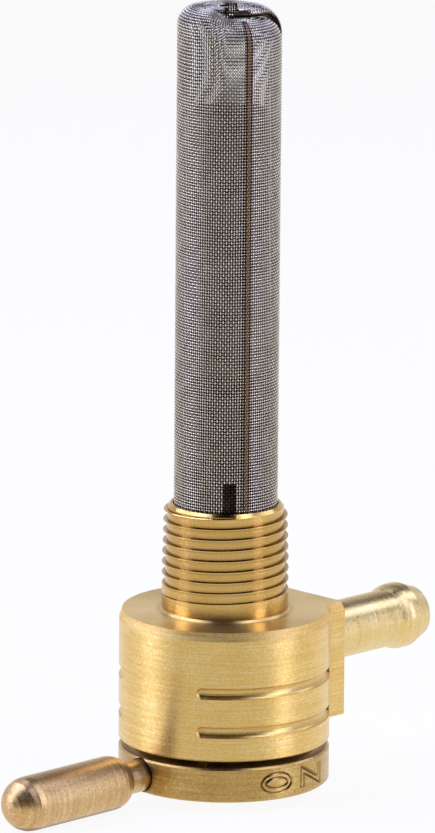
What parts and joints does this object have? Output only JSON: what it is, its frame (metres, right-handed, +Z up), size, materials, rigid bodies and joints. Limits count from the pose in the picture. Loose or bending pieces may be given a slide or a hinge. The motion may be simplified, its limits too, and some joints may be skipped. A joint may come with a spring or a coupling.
{
  "type": "fuel tap",
  "caption": "Brass fuel tap with a taper tank thread, a tall woven strainer, a hose barb and a turning ring with a lever for on, off and reserve.",
  "frame": {"origin": "on the tap's axis, at the shoulder that the tank thread rises from", "axes": "+Z up the axis into the tank, +X along the hose outlet"},
  "size_m": [0.0761, 0.0286, 0.1076],
  "materials": {
    "turned_brass": "fine-turned, bare",
    "ring_brass": "fine-turned, bare",
    "lever_bronze": "satin, tumbled",
    "stem_brass": "turned, bare",
    "tube_brass": "drawn, dull",
    "woven_steel": "plain weave of stainless wire",
    "black_rubber": "moulded",
    "gasket_rubber": "cut sheet",
    "pin_steel": "ground",
    "spring_steel": "hardened",
    "rotor_plastic": "machined"
  },
  "bodies": {
    "body": {"valve_body": "turned_brass", "outlet_barb": "turned_brass", "screen_stem": "stem_brass", "pickup_tube": "tube_brass", "tube_seal_ring": "black_rubber", "filter_screen": "woven_steel", "port_gasket": "gasket_rubber", "gasket_pin_left": "pin_steel", "gasket_pin_right": "pin_steel", "stop_pin": "pin_steel", "snap_ring": "spring_steel", "detent_spring": "spring_steel"},
    "knob": {"knob_ring": "ring_brass", "lever_handle": "lever_bronze", "hub_o_ring": "black_rubber", "valve_rotor": "rotor_plastic", "drive_pin_left": "pin_steel", "drive_pin_right": "pin_steel", "disc_spring": "spring_steel"},
    "click_ball": {"detent_ball": "pin_steel"}
  },
  "joints": [
    {"name": "knob_turn", "type": "hinge", "parent": "body", "child": "knob", "pos_m": [0, 0, -0.0211], "axis": [0, 0, 1], "range_deg": [-180, 0]},
    {"name": "click_ball_lift", "type": "slide", "parent": "body", "child": "click_ball", "axis": [0, 0, 1], "range_m": [-0.0003, 0], "stiffness_N_per_m": 2000, "deforming": ["detent_spring"]}
  ]
}
